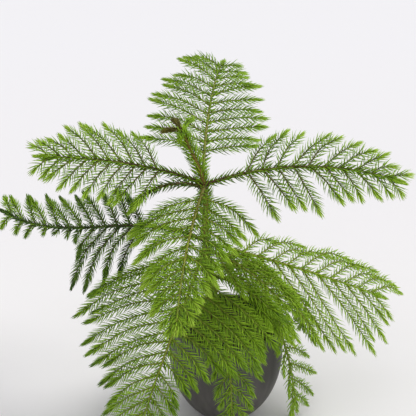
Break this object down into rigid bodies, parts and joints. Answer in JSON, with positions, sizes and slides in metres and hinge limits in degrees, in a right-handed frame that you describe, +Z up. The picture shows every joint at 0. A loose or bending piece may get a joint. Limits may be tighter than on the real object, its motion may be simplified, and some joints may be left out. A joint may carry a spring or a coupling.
{
  "type": "potted norfolk pine",
  "caption": "Young Norfolk Island pine in a round matte pot: a slim trunk with whorls of feathery, drooping fronds and a tuft of young shoots at the leader's tip.",
  "frame": {"origin": "centre of the pot's flat foot, on the surface it stands on", "axes": "+Z up along the pot's axis; -Y towards the side the longest drooping fronds reach to; +X to the right seen from that side. The trunk leans to -X"},
  "size_m": [0.4748, 0.4181, 0.3645],
  "materials": {
    "pot": "matte charcoal, smooth",
    "soil": "rough, granular potting mix",
    "bark": "green-brown young bark with short needles",
    "foliage": "green needles on woody shoots, satin",
    "young_foliage": "fresh yellow-green needles, satin"
  },
  "bodies": {
    "root": {"pot": "pot", "soil": "soil", "trunk": "bark", "frond_top_right": "foliage", "frond_top_back": "foliage", "frond_top_front_left": "foliage", "frond_top_left": "foliage", "frond_top_front": "foliage", "frond_mid_left": "foliage", "frond_mid_right": "foliage", "frond_mid_front_left": "foliage", "frond_mid_front_right": "foliage", "frond_low_right": "foliage", "frond_low_front": "foliage", "frond_low_back": "foliage", "bud_back_left": "young_foliage", "bud_left": "young_foliage", "bud_back_right": "young_foliage", "bud_front": "young_foliage"}
  },
  "joints": []
}
